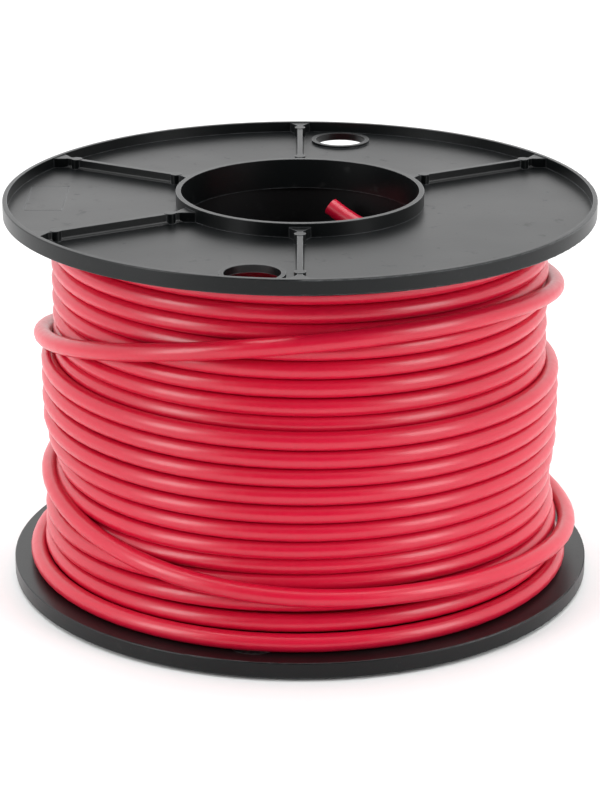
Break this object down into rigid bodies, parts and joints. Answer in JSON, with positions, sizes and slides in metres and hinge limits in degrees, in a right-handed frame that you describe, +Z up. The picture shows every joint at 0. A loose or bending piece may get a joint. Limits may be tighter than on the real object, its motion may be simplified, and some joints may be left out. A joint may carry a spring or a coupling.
{
  "type": "cable spool",
  "caption": "Round moulded spool with ribbed flanges and a hollow hub, wound with single-core insulated cable whose inner end comes up inside the hub.",
  "frame": {"origin": "centre of the lower hub collar's end face, which the spool stands on", "axes": "+Z up along the spool's axis, +X towards the side where the cable's inner end enters the hub, -Y towards the front rib"},
  "size_m": [0.2, 0.2, 0.1354],
  "materials": {
    "flange_plastic": "injection-moulded black polystyrene, satin",
    "barrel_plastic": "injection-moulded black polystyrene, satin",
    "cable_insulation": "smooth red PVC",
    "conductor_copper": "bunched bare copper"
  },
  "bodies": {
    "root": {"upper_flange": "flange_plastic", "lower_flange": "flange_plastic", "barrel": "barrel_plastic", "cable_winding": "cable_insulation", "cable_inner_tail": "cable_insulation", "cable_outer_tail": "cable_insulation", "inner_end_conductor": "conductor_copper", "outer_end_conductor": "conductor_copper"}
  },
  "joints": []
}
